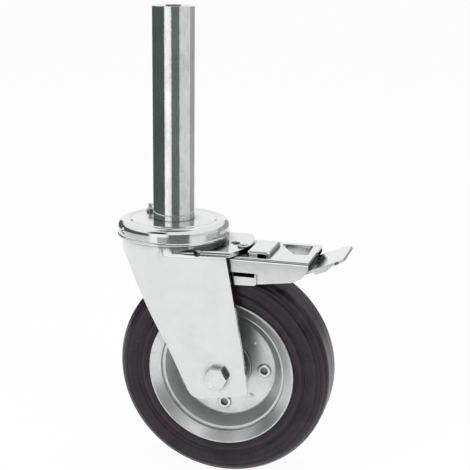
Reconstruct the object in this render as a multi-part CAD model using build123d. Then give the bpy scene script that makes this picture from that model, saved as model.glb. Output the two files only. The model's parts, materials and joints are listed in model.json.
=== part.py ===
from build123d import *
from math import asin, atan2, cos, degrees, hypot, radians, sin, tan
import os

# Scaffold castor with a tube stem, a rubber tyred pressed steel wheel and a total lock foot brake.
# Millimetres. The origin is on the stem's axis at the cap's top face, where the scaffold tube seats.
# +Z is up along the stem, +X is the trailing side, -Y is the near side with the axle bolt's head.

# Stem and cap
stem_radius = 19.0
stem_wall = 3.0
stem_length = 191.0
stem_below_cap = 2.0
spigot_step = 0.6
seat_relief = 0.3
stem_chamfer = 1.0
plug_height = 8.0
weld_leg = 2.5
cap_radius = 51.0
cap_sheet = 4.0
cap_depth = 15.0
cap_shoulder = 6.0
cap_bead = 0.7
cap_ring_inset = 10.5
cap_ring_wire = 1.2
crimp_count = 3
crimp_angle = 225.0
crimp_radius = 2.2
crimp_depth = 1.7
nipple_gap = 14.5
nipple_turn = 150.0
nipple_seat = 4.6
nipple_seat_depth = 0.5
nipple_stub = 2.0
nipple_radius = 3.2
nipple_height = 8.0

# Swivel head
king_radius = 8.0
king_gap = 0.05
king_hex_room = 2.1
king_head = 8.0
king_nut = 8.0
king_end = 2.5
ball_radius = 4.0
groove_depth = 1.5
ball_gap = 0.3
race_shoulder = 1.0
lower_circle = 24.0
upper_count = 12
lower_count = 10
cage_sheet = 1.2
cage_side = 2.0
cage_play = 0.25
cup_sheet = 3.5
cup_lip = 3.0
cup_rim = 3.0
cup_gap = 0.5
lock_sheet = 4.0
lock_ring_gap = 6.5
lock_tooth = 8.0
lock_slots = 16
lock_slot = 6.0

# Fork
fork_sheet = 4.0
crown_inset = 3.5
crown_slope = 4.3
crown_lip_gap = 0.6
crown_wall_gap = 0.7
plate_drop = 19.0
fold_radius = 6.0
leg_gap = 3.1
flare_end = 25.0
flare_start = 0.5
front_reach = 75.0
leg_front_x = 61.5
leg_rear_x = -33.5
leg_rear_drop = 34.0
leg_rear_fillet = 14.0
dish_rear_drop = 26.0
toe_front = (29.5, -14.5)
toe_rear = (-23.5, -24.8)
toe_front_fillet = 6.0
toe_rear_fillet = 13.0
lance_x = 34.7
lance_drop = 0.3
lance_size = (9.5, 5.6)
lance_turn = 125.0

# Wheel
wheel_offset = 52.5
wheel_radius = 100.0
tyre_top_gap = 3.2
tread_width = 50.0
tread_flat = 31.0
tyre_bead_step = 1.6
lip_grip = 0.9
rim_sheet = 2.5
rim_lip_share = 0.695
rim_lip_inset = 1.8
rim_band_share = 0.615
rim_band_step = 5.7
rim_step_share = 0.575
rim_step_rise = 4.5
rim_foot_share = 0.49
rivet_count = 4
rivet_turn = -2.0
rivet_radius = 4.4
rivet_bore = 3.4
rivet_collar = 6.3
rivet_stand = 1.6
pip_radius = 2.4
pip_stand = 1.0

# Hub and axle
hub_length = 60.0
hub_radius = 20.5
hub_end_gap = 1.0
collar_radius = 24.5
collar_sheet = 2.0
axle_radius = 6.0
sleeve_wall = 4.0
roller_radius = 2.5
roller_count = 12
roller_gap = 0.15
roller_length = 44.0
dust_sheet = 0.6
dust_skirt = 6.0
head_flats = 19.0
head_height = 7.5
nut_height = 10.0
axle_end = 4.0
washer_radius = 12.0
washer_sheet = 2.5

# Brake
lock_angle = 6.5
pivot_x = 54.0
pivot_below_plate = 8.5
pivot_radius = 3.3
ear_radius = 6.5
pin_gap = 0.05
pedal_sheet = 2.5
tyre_side_gap = 4.4
pedal_top_gap = 0.5
pedal_fold = 3.2
pedal_start_gap = 6.0
pedal_end = 133.5
pedal_side = [(0.0, 6.5), (5.0, 14.5), (15.0, 19.0), (40.0, 22.3)]
pedal_side_fillet = 2.0
notch_gap = 1.2
notch_depth = 13.4
window_corners = [(37.0, 24.5), (7.0, 26.0), (5.5, -7.5), (18.5, -8.0)]
window_fillet = 2.5
pad_gap = 1.0
pad_length = 21.0
pad_half_width = 22.0
pad_shift = -2.5
pad_height = 4.0
pad_sheet = 1.6
pad_edge = 2.0
pad_slot_start = 10.0
pad_slot_length = 8.0
pad_slot_height = 2.2
pad_vent_radius = 1.4
shoe_x = (61.0, 87.5)
shoe_sheet = 2.5
shoe_depth = 26.1
shoe_touch = 0.3
shoe_slot = (66.0, 85.5)
shoe_slot_height = 4.6
leaf_half_width = 8.0
leaf_sheet = 1.6
leaf_step = 2.5
leaf_end_x = 78.0
leaf_bend = (9.0, 16.0)
tooth_length = 5.0
tooth_side_gap = 0.6
tooth_gap = 0.3
lever_pivot_inset = 7.0
lever_pivot_depth = 9.0
lever_pin_radius = 2.5
lever_knuckle = 4.4
lever_side_gap = 2.9
lever_sheet = 2.5
lever_rise = 22.8
lever_length = 38.5
lever_fillet = 9.0
lever_face = 1.8
flange_depth = 2.8
flange_start = 9.0
flange_reach = 30.0
spring_wire = 0.9
spring_turns = 3
spring_pitch = 2.1
spring_end_gap = 4.7
spring_leg = 12.0
stud_inset = 5.0
stud_y = -13.0
stud_radius = 2.5
stud_head = 3.6
stud_head_height = 1.4
hook_radius = 4.0
hook_wire = 1.0
hook_reach = 11.5
hook_hole_y = -2.5
hook_hole_radius = 3.0

# Places that follow from the sizes above
crown_radius = cap_radius - crown_inset
plate_underside = -plate_drop - fork_sheet
pivot = (pivot_x, plate_underside - pivot_below_plate)
tyre_top_drop = pivot_radius + tyre_top_gap - pivot[1]
axle_z = -(tyre_top_drop + wheel_radius)
ball_face_gap = 2 * (ball_radius - groove_depth)
crown_top = -cap_sheet - ball_face_gap
crown_underside = crown_top - fork_sheet
upper_ball_z = (-cap_sheet + crown_top) / 2
cup_top = crown_underside - ball_face_gap
lower_ball_z = (crown_underside + cup_top) / 2
cup_bottom = cup_top - cup_sheet
lock_bottom = cup_bottom - lock_sheet
king_nut_bottom = lock_bottom - king_nut
crown_edge = -cap_depth - crown_lip_gap
crown_inner_radius = cap_radius - cap_sheet - crown_wall_gap
crown_top_radius = crown_inner_radius - crown_slope
upper_circle = crown_top_radius - ball_radius - race_shoulder
cap_ring_radius = cap_radius - cap_ring_inset
king_hex = 2 * cos(radians(30)) * (stem_radius - stem_wall - king_hex_room)
lock_radius = crown_radius - fork_sheet - lock_ring_gap
lock_root = lock_radius - lock_tooth
fork_half_width = hub_length / 2 + fork_sheet
flare_top = -plate_drop - fold_radius - flare_start
flare_low = axle_z + flare_end
pedal_top = plate_underside - pedal_top_gap
pedal_underside = pedal_top - pedal_sheet
pedal_start = pivot_x + pedal_start_gap
pedal_half_width = tread_width / 2 + tyre_side_gap + shoe_sheet + pedal_sheet
spring_radius = pedal_underside - pivot[1] - spring_wire
spring_start = pedal_half_width - pedal_sheet - spring_end_gap - spring_pitch * spring_turns
plan_half = pedal_half_width + leg_gap + fork_sheet
plan_taper = degrees(asin(crown_radius / hypot(pivot_x, plan_half)) - atan2(plan_half, pivot_x))
pad_start = front_reach + pad_gap
pad_end = pad_start + pad_length
shoe_low = pedal_top - shoe_depth
notch_top = pedal_top - notch_depth
notch_x = shoe_x[1] + notch_gap
tooth_start = lock_root + 2.0
lever_pivot = (pedal_end - lever_pivot_inset, pedal_top - lever_pivot_depth)
lever_half_width = pedal_half_width - pedal_sheet - lever_side_gap
stud_x = front_reach - stud_inset
hook_hole_x = stud_x - hook_reach
rim_lip_radius = wheel_radius * rim_lip_share
rim_band_radius = wheel_radius * rim_band_share
rim_step_radius = wheel_radius * rim_step_share
rim_foot_radius = wheel_radius * rim_foot_share
rim_lip_place = tread_width / 2 - rim_lip_inset
rim_band_place = rim_lip_place - rim_band_step
rim_step_place = rim_band_place - rim_step_rise
rivet_circle = (collar_radius + rim_foot_radius) / 2
rubber_height = wheel_radius - rim_lip_radius
king_hole = king_radius + king_gap
sleeve_radius = axle_radius + sleeve_wall
roller_circle = sleeve_radius + roller_radius + roller_gap
hub_bore = roller_circle + roller_radius + roller_gap
far = 300.0


def section(*corners):
    """Closed flat face from (x, y) or (x, y, corner radius) corners."""
    points = [corner[:2] for corner in corners]
    radii = [corner[2] if len(corner) > 2 else 0.0 for corner in corners]
    return make_face(FilletPolyline(*points, radius=radii, close=True))


def turned(*corners):
    """Solid turned about the stem's axis from (radius, height) corners."""
    return revolve(Plane.XZ * section(*corners), Axis.Z)


def side_prism(face, half_width):
    """Side-view face in X and Z, extruded the same way to both sides."""
    return extrude(Plane.XZ * face, amount=half_width, both=True)


def on_axle(piece):
    """Piece made about +Z placed on the axle, its +Z turned to the near side."""
    return Pos(wheel_offset, 0, axle_z) * Rot(90, 0, 0) * piece


def around(piece, count, radius, start=0.0):
    """Copies of a piece on a circle about Z, as a list."""
    return [Rot(0, 0, start + i * 360.0 / count) * Pos(radius, 0, 0) * piece for i in range(count)]


def group(pieces):
    """Separate solids of one node."""
    return Compound(children=[solid for piece in pieces for solid in piece.solids()])


def hex_prism(flats, height):
    """Hexagon prism with its two ends chamfered like a bolt head."""
    across = flats / cos(radians(30)) / 2
    body = extrude(RegularPolygon(across, 6), amount=height)
    crown = Pos(0, 0, height / 2) * Cylinder(across * 0.97, height)
    return body & chamfer(crown.edges().sort_by(Axis.Z)[-1], height * 0.12)


def turned_about(point, centre, angle):
    """Point (x, z) turned about centre by angle degrees about +Y."""
    dx = point[0] - centre[0]
    dz = point[1] - centre[1]
    a = radians(angle)
    return (centre[0] + dx * cos(a) + dz * sin(a), centre[1] - dx * sin(a) + dz * cos(a))


# Stem
def stem_tube():
    """Plain tube stem: open end chamfered, foot turned down to a spigot that seats in the cap."""
    low = -cap_sheet - stem_below_cap
    spigot = stem_radius - spigot_step
    tube = turned((stem_radius - stem_wall, low), (spigot, low), (spigot, 0), (stem_radius, 0),
                  (stem_radius, stem_length), (stem_radius - stem_wall, stem_length))
    return chamfer(tube.edges().group_by(Axis.Z)[-1], stem_chamfer)


def stem_plug():
    """Disc welded into the stem's foot that carries the king pin's head."""
    low = -cap_sheet - stem_below_cap
    return turned((king_radius, low), (stem_radius - stem_wall, low),
                  (stem_radius - stem_wall, low + plug_height), (king_radius, low + plug_height))


def stem_weld():
    """Fillet weld between the stem's spigot and the cap's underside."""
    spigot = stem_radius - spigot_step
    return turned((spigot, -cap_sheet), (spigot + weld_leg, -cap_sheet),
                  (spigot, -cap_sheet - weld_leg))


def top_cap():
    """Upper bearing cap: a drawn cup, its bore eased round the stem, with a stamped ring, bead and race groove."""
    inner = cap_radius - cap_sheet
    bore = stem_radius - spigot_step
    cup = turned((bore, -spigot_step - seat_relief), (stem_radius + seat_relief, 0),
                 (cap_radius, 0, cap_shoulder), (cap_radius, -cap_depth), (inner, -cap_depth),
                 (inner, -cap_sheet, cap_shoulder - cap_sheet), (bore, -cap_sheet))
    bead = Pos(0, 0, -cap_depth + cap_bead) * Torus(cap_radius - cap_bead * 0.2, cap_bead)
    ring = Pos(0, 0, cap_ring_wire * 0.35) * Torus(cap_ring_radius, cap_ring_wire)
    race = Pos(0, 0, upper_ball_z) * Torus(upper_circle, ball_radius + ball_gap)
    crimp = Pos(0, 0, -cap_depth * 0.45) * Sphere(crimp_radius)
    crimps = around(crimp, crimp_count, cap_radius + crimp_radius - crimp_depth, crimp_angle)
    hole = Pos(0, 0, -cap_sheet / 2) * Cylinder(nipple_radius * 0.6, cap_sheet)
    seat = Pos(0, 0, -nipple_seat_depth / 2) * Cylinder(nipple_seat, nipple_seat_depth)
    return cup + bead - ring - race - crimps - at_nipple(hole) - at_nipple(seat)


def at_nipple(piece):
    """Piece placed where the grease nipple stands on the cap, clear of the scaffold tube."""
    return Rot(0, 0, nipple_turn) * Pos(stem_radius + nipple_gap, 0, 0) * piece


def grease_nipple():
    """Grease nipple: thread stub, hexagon foot in its spot face and ball nose."""
    low = -nipple_seat_depth
    stub = Pos(0, 0, low - nipple_stub / 2) * Cylinder(nipple_radius * 0.6, nipple_stub)
    foot = extrude(Pos(0, 0, low) * RegularPolygon(nipple_radius * 1.15, 6), amount=nipple_height * 0.35 - low)
    neck = turned((0, nipple_height * 0.35), (nipple_radius * 0.7, nipple_height * 0.35),
                  (nipple_radius * 0.5, nipple_height * 0.62), (nipple_radius * 0.75, nipple_height * 0.8),
                  (nipple_radius * 0.45, nipple_height), (0, nipple_height))
    return at_nipple(stub + foot + neck)


def king_pin():
    """King pin with a hexagon head on the plug inside the stem."""
    head_low = plug_height - cap_sheet - stem_below_cap
    shank_low = king_nut_bottom - king_end
    shank = turned((0, shank_low), (king_radius, shank_low, 1.0), (king_radius, head_low), (0, head_low))
    return shank + Pos(0, 0, head_low) * hex_prism(king_hex, king_head)


def king_pin_nut():
    """Nut that closes the swivel head from below."""
    nut = Pos(0, 0, king_nut_bottom) * hex_prism(king_hex, king_nut)
    return nut - Cylinder(king_radius, far)


def lower_cup():
    """Lower bearing cup with an upturned rim and a race groove."""
    rim = lower_circle + ball_radius + cage_side + cup_gap
    outer = rim + cup_rim
    cup = turned((king_radius, cup_bottom), (outer, cup_bottom, 1.5), (outer, cup_top + cup_lip),
                 (rim, cup_top + cup_lip), (rim, cup_top), (king_radius, cup_top))
    return cup - Pos(0, 0, lower_ball_z) * Torus(lower_circle, ball_radius + ball_gap)


def lock_ring():
    """Toothed ring of the swivel lock, clamped under the lower cup."""
    ring = turned((king_radius, lock_bottom), (lock_radius, lock_bottom),
                  (lock_radius, cup_bottom), (king_radius, cup_bottom))
    depth = lock_radius - lock_root + 2.0
    slot = Pos(0, 0, (lock_bottom + cup_bottom) / 2) * Box(depth, lock_slot, lock_sheet * 2)
    return ring - around(slot, lock_slots, lock_root + depth / 2)


def balls(count, circle, height):
    """One race of balls."""
    return group(around(Pos(0, 0, height) * Sphere(ball_radius), count, circle))


def ball_cage(count, circle, height):
    """Flat cage that keeps the balls of one race apart."""
    inner = circle - ball_radius - cage_side
    outer = circle + ball_radius + cage_side
    half = cage_sheet / 2
    ring = turned((inner, height - half), (outer, height - half), (outer, height + half), (inner, height + half))
    pocket = Pos(0, 0, height) * Cylinder(ball_radius + cage_play, cage_sheet * 2)
    return ring - around(pocket, count, circle)


# Fork
def plan_outline(radius, taper):
    """Plan view of the fork's skin: round behind the stem, straight tangent sides to the front."""
    a = radians(90.0 - taper)
    touch = (radius * cos(a), radius * sin(a))
    end_x = wheel_offset + wheel_radius
    end_y = touch[1] - (end_x - touch[0]) * tan(radians(taper))
    arc = ThreePointArc(touch, (-radius, 0), (touch[0], -touch[1]))
    sides = Polyline((touch[0], -touch[1]), (end_x, -end_y), (end_x, end_y), touch)
    return make_face(arc + sides)


def fork_skin(inset, top):
    """Solid inside the fork's skin, set in by a distance, with its folded top edge rounded."""
    upper = plan_outline(crown_radius - inset, plan_taper)
    lower = plan_outline(fork_half_width - inset, 0.0)
    foot = axle_z - wheel_radius / 2
    head = extrude(Pos(0, 0, flare_top) * upper, amount=top - flare_top)
    folded = head.edges().group_by(Axis.Z)[-1].filter_by(lambda e: e.center().X < end_of_plan() - 1)
    head = fillet(folded, max(fold_radius - inset, 1.0))
    flare = loft([Pos(0, 0, flare_low) * lower, Pos(0, 0, flare_top) * upper], ruled=True)
    legs = extrude(Pos(0, 0, foot) * lower, amount=flare_low - foot)
    return head + flare + legs


def end_of_plan():
    """X where the fork's plan outline ends, well past its front edge."""
    return wheel_offset + wheel_radius


def fork_side():
    """Side view of the fork: crown, straight front edge, sloping rear edge and rounded toe."""
    front_toe = (wheel_offset + toe_front[0], axle_z + toe_front[1], toe_front_fillet)
    rear_toe = (wheel_offset + toe_rear[0], axle_z + toe_rear[1], toe_rear_fillet)
    return section((-far, 0), (-far, -dish_rear_drop), (-crown_radius + 2.0, -dish_rear_drop, 3.0),
                   (leg_rear_x, -leg_rear_drop, leg_rear_fillet), rear_toe, front_toe,
                   (leg_front_x, plate_underside), (end_of_plan(), plate_underside), (end_of_plan(), 0))


def crown_dish():
    """Dished ball race at the middle of the crown."""
    inner = crown_radius - fork_sheet
    shoulder = crown_top - (crown_inner_radius - crown_top_radius)
    dish = turned((king_hole, crown_top), (crown_top_radius, crown_top, 2.0),
                  (crown_inner_radius, shoulder, 2.0), (crown_inner_radius, crown_edge),
                  (crown_radius, crown_edge, 0.8), (crown_radius, flare_top), (inner, flare_top),
                  (inner, crown_edge - 1.0), (crown_top_radius - 3.0, crown_underside, 2.0),
                  (king_hole, crown_underside))
    channel = Box(far, 2 * (pedal_half_width + leg_gap), far)
    return dish - Pos(far / 2, 0, plate_underside - far / 2) * channel


def fork():
    """Pressed fork: dished crown with its ball races, front plate with a round edge, two legs."""
    sheet = fork_skin(0.0, -plate_drop) - fork_skin(fork_sheet, plate_underside)
    middle = (crown_radius + crown_inner_radius - 1.0) / 2
    sheet -= Pos(0, 0, plate_underside / 2) * Cylinder(middle, -plate_underside)
    body = (sheet + crown_dish()) & side_prism(fork_side(), far)
    front = Pos(0, 0, -far / 2) * Cylinder(front_reach, far)
    above = Pos(0, 0, plate_underside - far / 2) * Box(4 * far, 4 * far, far)
    body &= front + above
    for circle, height in ((upper_circle, upper_ball_z), (lower_circle, lower_ball_z)):
        body -= Pos(0, 0, height) * Torus(circle, ball_radius + ball_gap)
    body -= on_axle(Cylinder(axle_radius, far))
    body -= Pos(pivot[0], 0, pivot[1]) * Rot(90, 0, 0) * Cylinder(pivot_radius, far)
    lance = Pos(lance_x, -plate_drop - lance_drop) * Rot(0, 0, lance_turn) * SlotOverall(*lance_size)
    body -= Pos(0, -crown_radius * 0.8, 0) * extrude(Plane.XZ * lance, amount=far)
    body -= Pos(hook_hole_x, hook_hole_y, -plate_drop) * Cylinder(hook_hole_radius, fork_sheet * 3)
    return body - Pos(stud_x, stud_y, -plate_drop) * Cylinder(stud_radius, fork_sheet * 3)


def spring_stud():
    """Riveted stud on the crown's front that carries the spring hook."""
    neck = -plate_drop + hook_wire * 2.1
    head = neck + stud_head_height
    return Pos(stud_x, stud_y, 0) * turned((0, plate_underside), (stud_radius, plate_underside), (stud_radius, neck),
                                           (stud_head, neck), (stud_head, head, 1.0), (0, head))


def spring_hook():
    """Wire hook: nearly a full loop round the stud, then a tail down through the crown's hole."""
    height = -plate_drop + hook_wire
    entry = (hook_hole_x, hook_hole_y, height)
    away = degrees(atan2(stud_y - hook_hole_y, stud_x - hook_hole_x))
    turns = [radians(away + turn) for turn in (145.0, 0.0, -160.0)]
    ring = [(stud_x + hook_radius * cos(a), stud_y + hook_radius * sin(a), height) for a in turns]
    loop = ThreePointArc(*ring)
    tail = TangentArc(loop @ 1, entry, tangent=loop % 1)
    wire = Wire((loop + tail).edges())
    rod = sweep(Plane(wire @ 0, z_dir=wire % 0) * Circle(hook_wire), path=wire)
    drop = Pos(entry[0], entry[1], height - fork_sheet / 2) * Cylinder(hook_wire, fork_sheet)
    return rod + drop + Pos(*entry) * Sphere(hook_wire)


def pivot_pin():
    """Pedal pivot pin through both legs, its ends ground flush with the fork's skin."""
    pin = Pos(pivot[0], 0, pivot[1]) * Rot(90, 0, 0) * Cylinder(pivot_radius, far)
    return pin & fork_skin(0.0, -plate_drop)


# Axle and bearing
def axle_bolt():
    """Axle bolt with its hexagon head on the near leg."""
    reach = fork_half_width + washer_sheet + nut_height + axle_end
    shank = Pos(0, 0, (fork_half_width - reach) / 2) * Cylinder(axle_radius, fork_half_width + reach)
    return on_axle(shank + Pos(0, 0, fork_half_width) * hex_prism(head_flats, head_height))


def axle_washer():
    """Washer under the axle nut."""
    low = -fork_half_width - washer_sheet
    return on_axle(turned((axle_radius, low), (washer_radius, low),
                          (washer_radius, -fork_half_width), (axle_radius, -fork_half_width)))


def axle_nut():
    """Axle nut on the far leg."""
    nut = Rot(180, 0, 0) * hex_prism(head_flats, nut_height) - Cylinder(axle_radius, far)
    return on_axle(Pos(0, 0, -fork_half_width - washer_sheet) * nut)


def bearing_sleeve():
    """Spacer sleeve clamped between the legs, the rollers' inner track."""
    return on_axle(Cylinder(sleeve_radius, hub_length) - Cylinder(axle_radius, far))


def rollers():
    """Rollers round the sleeve."""
    return group([on_axle(roller) for roller in
                  around(Cylinder(roller_radius, roller_length), roller_count, roller_circle)])


def roller_cage():
    """Cage of the rollers: a thin tube with a slot for each roller."""
    half = roller_length / 2 + 3.0
    inner = roller_circle - 0.8
    outer = roller_circle + 0.8
    tube = turned((inner, -half), (outer, -half), (outer, half), (inner, half))
    slot = Box(roller_radius * 3, roller_radius * 2 + 0.2, roller_length + 0.2)
    return on_axle(tube - around(slot, roller_count, roller_circle))


def hub_tube():
    """Hub tube with its roller track and rounded ends."""
    half = hub_length / 2 - hub_end_gap
    return on_axle(turned((hub_bore, -half), (hub_radius, -half, 1.0), (hub_radius, half, 1.0), (hub_bore, half)))


def hub_collars():
    """Two collars welded to the hub tube against the rim discs."""
    ring = turned((hub_radius, rim_sheet), (collar_radius, rim_sheet),
                  (collar_radius, rim_sheet + collar_sheet, 0.8), (hub_radius, rim_sheet + collar_sheet))
    return group([on_axle(ring), on_axle(Rot(180, 0, 0) * ring)])


def dust_caps():
    """Two thin caps pressed over the hub's ends."""
    half = hub_length / 2 - hub_end_gap
    cap = turned((sleeve_radius + 0.6, half), (hub_radius, half), (hub_radius, half - dust_skirt),
                 (hub_radius + dust_sheet, half - dust_skirt), (hub_radius + dust_sheet, half + dust_sheet),
                 (sleeve_radius + 0.6, half + dust_sheet))
    return group([on_axle(cap), on_axle(Rot(180, 0, 0) * cap)])


# Wheel
def rim_line():
    """Back of a rim pressing in section, as (radius, height) points from the hub to the lip."""
    return [(hub_radius, 0.0), (rim_foot_radius, 0.0), (rim_step_radius, rim_step_place),
            (rim_band_radius, rim_step_place), (rim_band_radius, rim_band_place), (rim_lip_radius, rim_lip_place)]


def moved_out(points, distance):
    """The same bent line moved sideways to its left by a distance."""
    normals = []
    for start, end in zip(points, points[1:]):
        length = hypot(end[0] - start[0], end[1] - start[1])
        normals.append(((start[1] - end[1]) / length, (end[0] - start[0]) / length))
    pairs = zip([normals[0]] + normals, normals + [normals[-1]])
    moved = []
    for point, (before, after) in zip(points, pairs):
        scale = distance / (1 + before[0] * after[0] + before[1] * after[1])
        moved.append((point[0] + scale * (before[0] + after[0]), point[1] + scale * (before[1] + after[1])))
    return moved


def rim_half():
    """One rim pressing: flat disc, dished step, band and turned lip, with pips between the rivets."""
    back = rim_line()
    front = moved_out(back, rim_sheet)
    outline = [(*p, r) for p, r in zip(back, (0.0, 5.0, 2.0, 1.2, 3.0, 0.9))]
    outline += [(*p, r) for p, r in zip(reversed(front), (0.9, 1.0, 2.0, 0.8, 3.0, 0.0))]
    rim = turned(*outline)
    pip = Pos(0, 0, rim_sheet + pip_stand - pip_radius) * Sphere(pip_radius)
    keep = Pos(0, 0, rim_sheet + pip_stand / 2) * Cylinder(rim_foot_radius, pip_stand)
    for piece in around(pip, rivet_count, rivet_circle, rivet_turn + 180.0 / rivet_count):
        rim += piece & keep
    hole = Cylinder(rivet_radius, rim_sheet * 4)
    return rim - around(hole, rivet_count, rivet_circle, rivet_turn)


def rim_near():
    """Rim pressing of the near side."""
    return on_axle(rim_half())


def rim_far():
    """Rim pressing of the far side."""
    return on_axle(mirror(rim_half(), about=Plane.XY))


def rim_rivets():
    """Tubular rivets that join the two pressings, with a rolled collar at each end."""
    low = rim_sheet
    top = rim_sheet + rivet_stand
    half = [(rivet_bore, 0), (rivet_radius, 0), (rivet_radius, low), (rivet_collar, low, 0.5),
            (rivet_collar, top, 1.0), (rivet_bore, top, 0.6)]
    side = turned(*half)
    rivet = side + mirror(side, about=Plane.XY)
    return group([on_axle(r) for r in around(rivet, rivet_count, rivet_circle, rivet_turn)])


def tyre():
    """Rubber tyre: flat tread, round shoulders, full side walls and a bead held by the rim's lips."""
    half = tread_width / 2
    band, lip = rim_line()[-2:]
    grip = (band[0] + (lip[0] - band[0]) * lip_grip, band[1] + (lip[1] - band[1]) * lip_grip)
    rise = rubber_height
    side = [(wheel_radius, tread_flat / 2, rise * 0.26), (wheel_radius - rise * 0.23, half, rise * 0.23),
            (rim_lip_radius + rise * 0.34, half, rise * 0.1),
            (rim_lip_radius + rise * 0.25, half - tyre_bead_step, rise * 0.05), grip, (*band, 3.0)]
    other = [(corner[0], -corner[1], *corner[2:]) for corner in reversed(side)]
    return on_axle(turned(*side, *other))


# Brake
def brake_pedal():
    """Brake pedal: a folded channel with a window, side notches and two ears on the pivot pin."""
    lower = [(pedal_end - back, pedal_top - drop, pedal_side_fillet) for back, drop in pedal_side]
    side = section((pedal_start, pedal_top), (pedal_end, pedal_top), *lower,
                   (notch_x, lower[-1][1] - 0.6), (notch_x, notch_top, 1.5),
                   (pivot[0] + 2 * ear_radius, notch_top, 2.0), (pivot[0], pivot[1] - ear_radius),
                   (pivot[0], pivot[1] + ear_radius), (pedal_start - 2.0, pivot[1] + ear_radius))
    ear = Pos(*pivot) * Circle(ear_radius)
    outer = side_prism(side + ear, pedal_half_width)
    ridge = outer.edges().filter_by(Axis.X).group_by(Axis.Z)[-1]
    outer = fillet(ridge, pedal_fold)
    width = 2 * (pedal_half_width - pedal_sheet)
    hollow = Pos(0, 0, pedal_underside - far / 2) * Box(2 * far, width, far)
    hollow = fillet(hollow.edges().filter_by(Axis.X).group_by(Axis.Z)[-1], pedal_fold - pedal_sheet)
    window = section(*[(pedal_end - back, y, window_fillet) for back, y in window_corners])
    cut = extrude(Pos(0, 0, pedal_underside - 1.0) * window, amount=pedal_sheet + 2.0)
    pin = Rot(90, 0, 0) * Cylinder(pivot_radius + pin_gap, far)
    hinge = Rot(90, 0, 0) * Cylinder(lever_pin_radius, far)
    return (outer - hollow - cut - Pos(pivot[0], 0, pivot[1]) * pin
            - Pos(lever_pivot[0], 0, lever_pivot[1]) * hinge)


def step_pad():
    """Raised tread pad: a shallow pressed tray, upside down on the pedal, with a slot in each side."""
    middle = Pos((pad_start + pad_end) / 2, pad_shift, pedal_top)
    tray = middle * Pos(0, 0, pad_height / 2) * Box(pad_length, 2 * pad_half_width, pad_height)
    tray = fillet(tray.edges().filter_by(Axis.Z), pad_edge * 1.5)
    tray = fillet(tray.edges().group_by(Axis.Z)[-1], pad_edge)
    inside = middle * Pos(0, 0, (pad_height - pad_sheet) / 2) * Box(
        pad_length - 2 * pad_sheet, 2 * (pad_half_width - pad_sheet), pad_height - pad_sheet)
    slot = Pos(pad_start + pad_slot_start + pad_slot_length / 2, 0, pedal_top + pad_slot_height / 2) * Box(
        pad_slot_length, 2 * far, pad_slot_height)
    vent = Pos(pad_end, pad_shift - pad_half_width * 0.6, pedal_top) * Rot(0, 90, 0) * Cylinder(
        pad_vent_radius, pad_length)
    return tray - inside - slot - vent


def brake_shoe():
    """Brake shoe: a flat web that meets the tyre at its middle, between two side flanges welded in the pedal."""
    centre = turned_about((wheel_offset, axle_z), pivot, -lock_angle)
    half = pedal_half_width - pedal_sheet
    length = shoe_x[1] - shoe_x[0]
    middle = (shoe_x[0] + shoe_x[1]) / 2
    rest = wheel_radius + shoe_touch
    tilt = degrees(asin((middle - centre[0]) / rest))
    plate = Rot(0, tilt, 0) * Pos(0, 0, rest + shoe_sheet / 2) * Box(2 * length, 2 * half, shoe_sheet)
    web = Pos(centre[0], 0, centre[1]) * plate & Pos(middle, 0, centre[1] + far / 2) * Box(length, 3 * half, far)
    low = shoe_low
    flange_face = section((shoe_x[0] + 2.0, low, 2.0), (shoe_x[1], low + 0.8, 3.0),
                          (shoe_x[1], pedal_underside - 6.0, 2.0), (shoe_x[0], pedal_underside - 6.0, 2.0),
                          (shoe_x[0], notch_top))
    flange = extrude(Plane.XZ * flange_face, amount=shoe_sheet)
    near = Pos(0, -half + shoe_sheet, 0) * flange
    gap = Pos((shoe_slot[0] + shoe_slot[1]) / 2, 0, notch_top - shoe_slot_height / 2)
    slot = gap * (Box(shoe_slot[1] - shoe_slot[0], 3 * half, shoe_slot_height)
                  - Box(far, 2 * (half - shoe_sheet), far))
    return web + near + mirror(near, about=Plane.XZ) - slot


def lock_leaf():
    """Spring steel leaf under the pedal whose tooth enters the lock ring as the pedal goes down."""
    top = pedal_underside
    low = top - leaf_sheet
    step = leaf_step
    start = tooth_start - 0.5
    bend, rise = (tooth_start + distance for distance in leaf_bend)
    face = section((leaf_end_x, low), (leaf_end_x, top), (rise, top, 1.0), (bend, top - step, 1.0),
                   (start, top - step), (start, low - step), (bend, low - step, 1.0), (rise, low, 1.0))
    leaf = side_prism(face, leaf_half_width)
    tooth_top = lock_bottom - tooth_gap
    height = tooth_top - (top - step)
    tooth = Pos(tooth_start + tooth_length / 2, 0, tooth_top - height / 2) * Box(
        tooth_length, lock_slot - 2 * tooth_side_gap, height)
    return leaf + tooth


def leaf_rivets():
    """Two rivets that hold the lock leaf to the pedal, with countersunk heads in line with the leaf."""
    rivet = Pos(0, 0, pedal_underside - leaf_sheet - 0.5) * Cylinder(3.0, 1.0)
    return group([Pos(x, 0, 0) * rivet for x in (leaf_end_x - 5.0, leaf_end_x - 14.0)])


def lever_pin():
    """Hinge pin of the release lever, through both side walls of the pedal."""
    pin = Rot(90, 0, 0) * Cylinder(lever_pin_radius, 2 * pedal_half_width)
    return Pos(lever_pivot[0], 0, lever_pivot[1]) * pin


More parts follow.
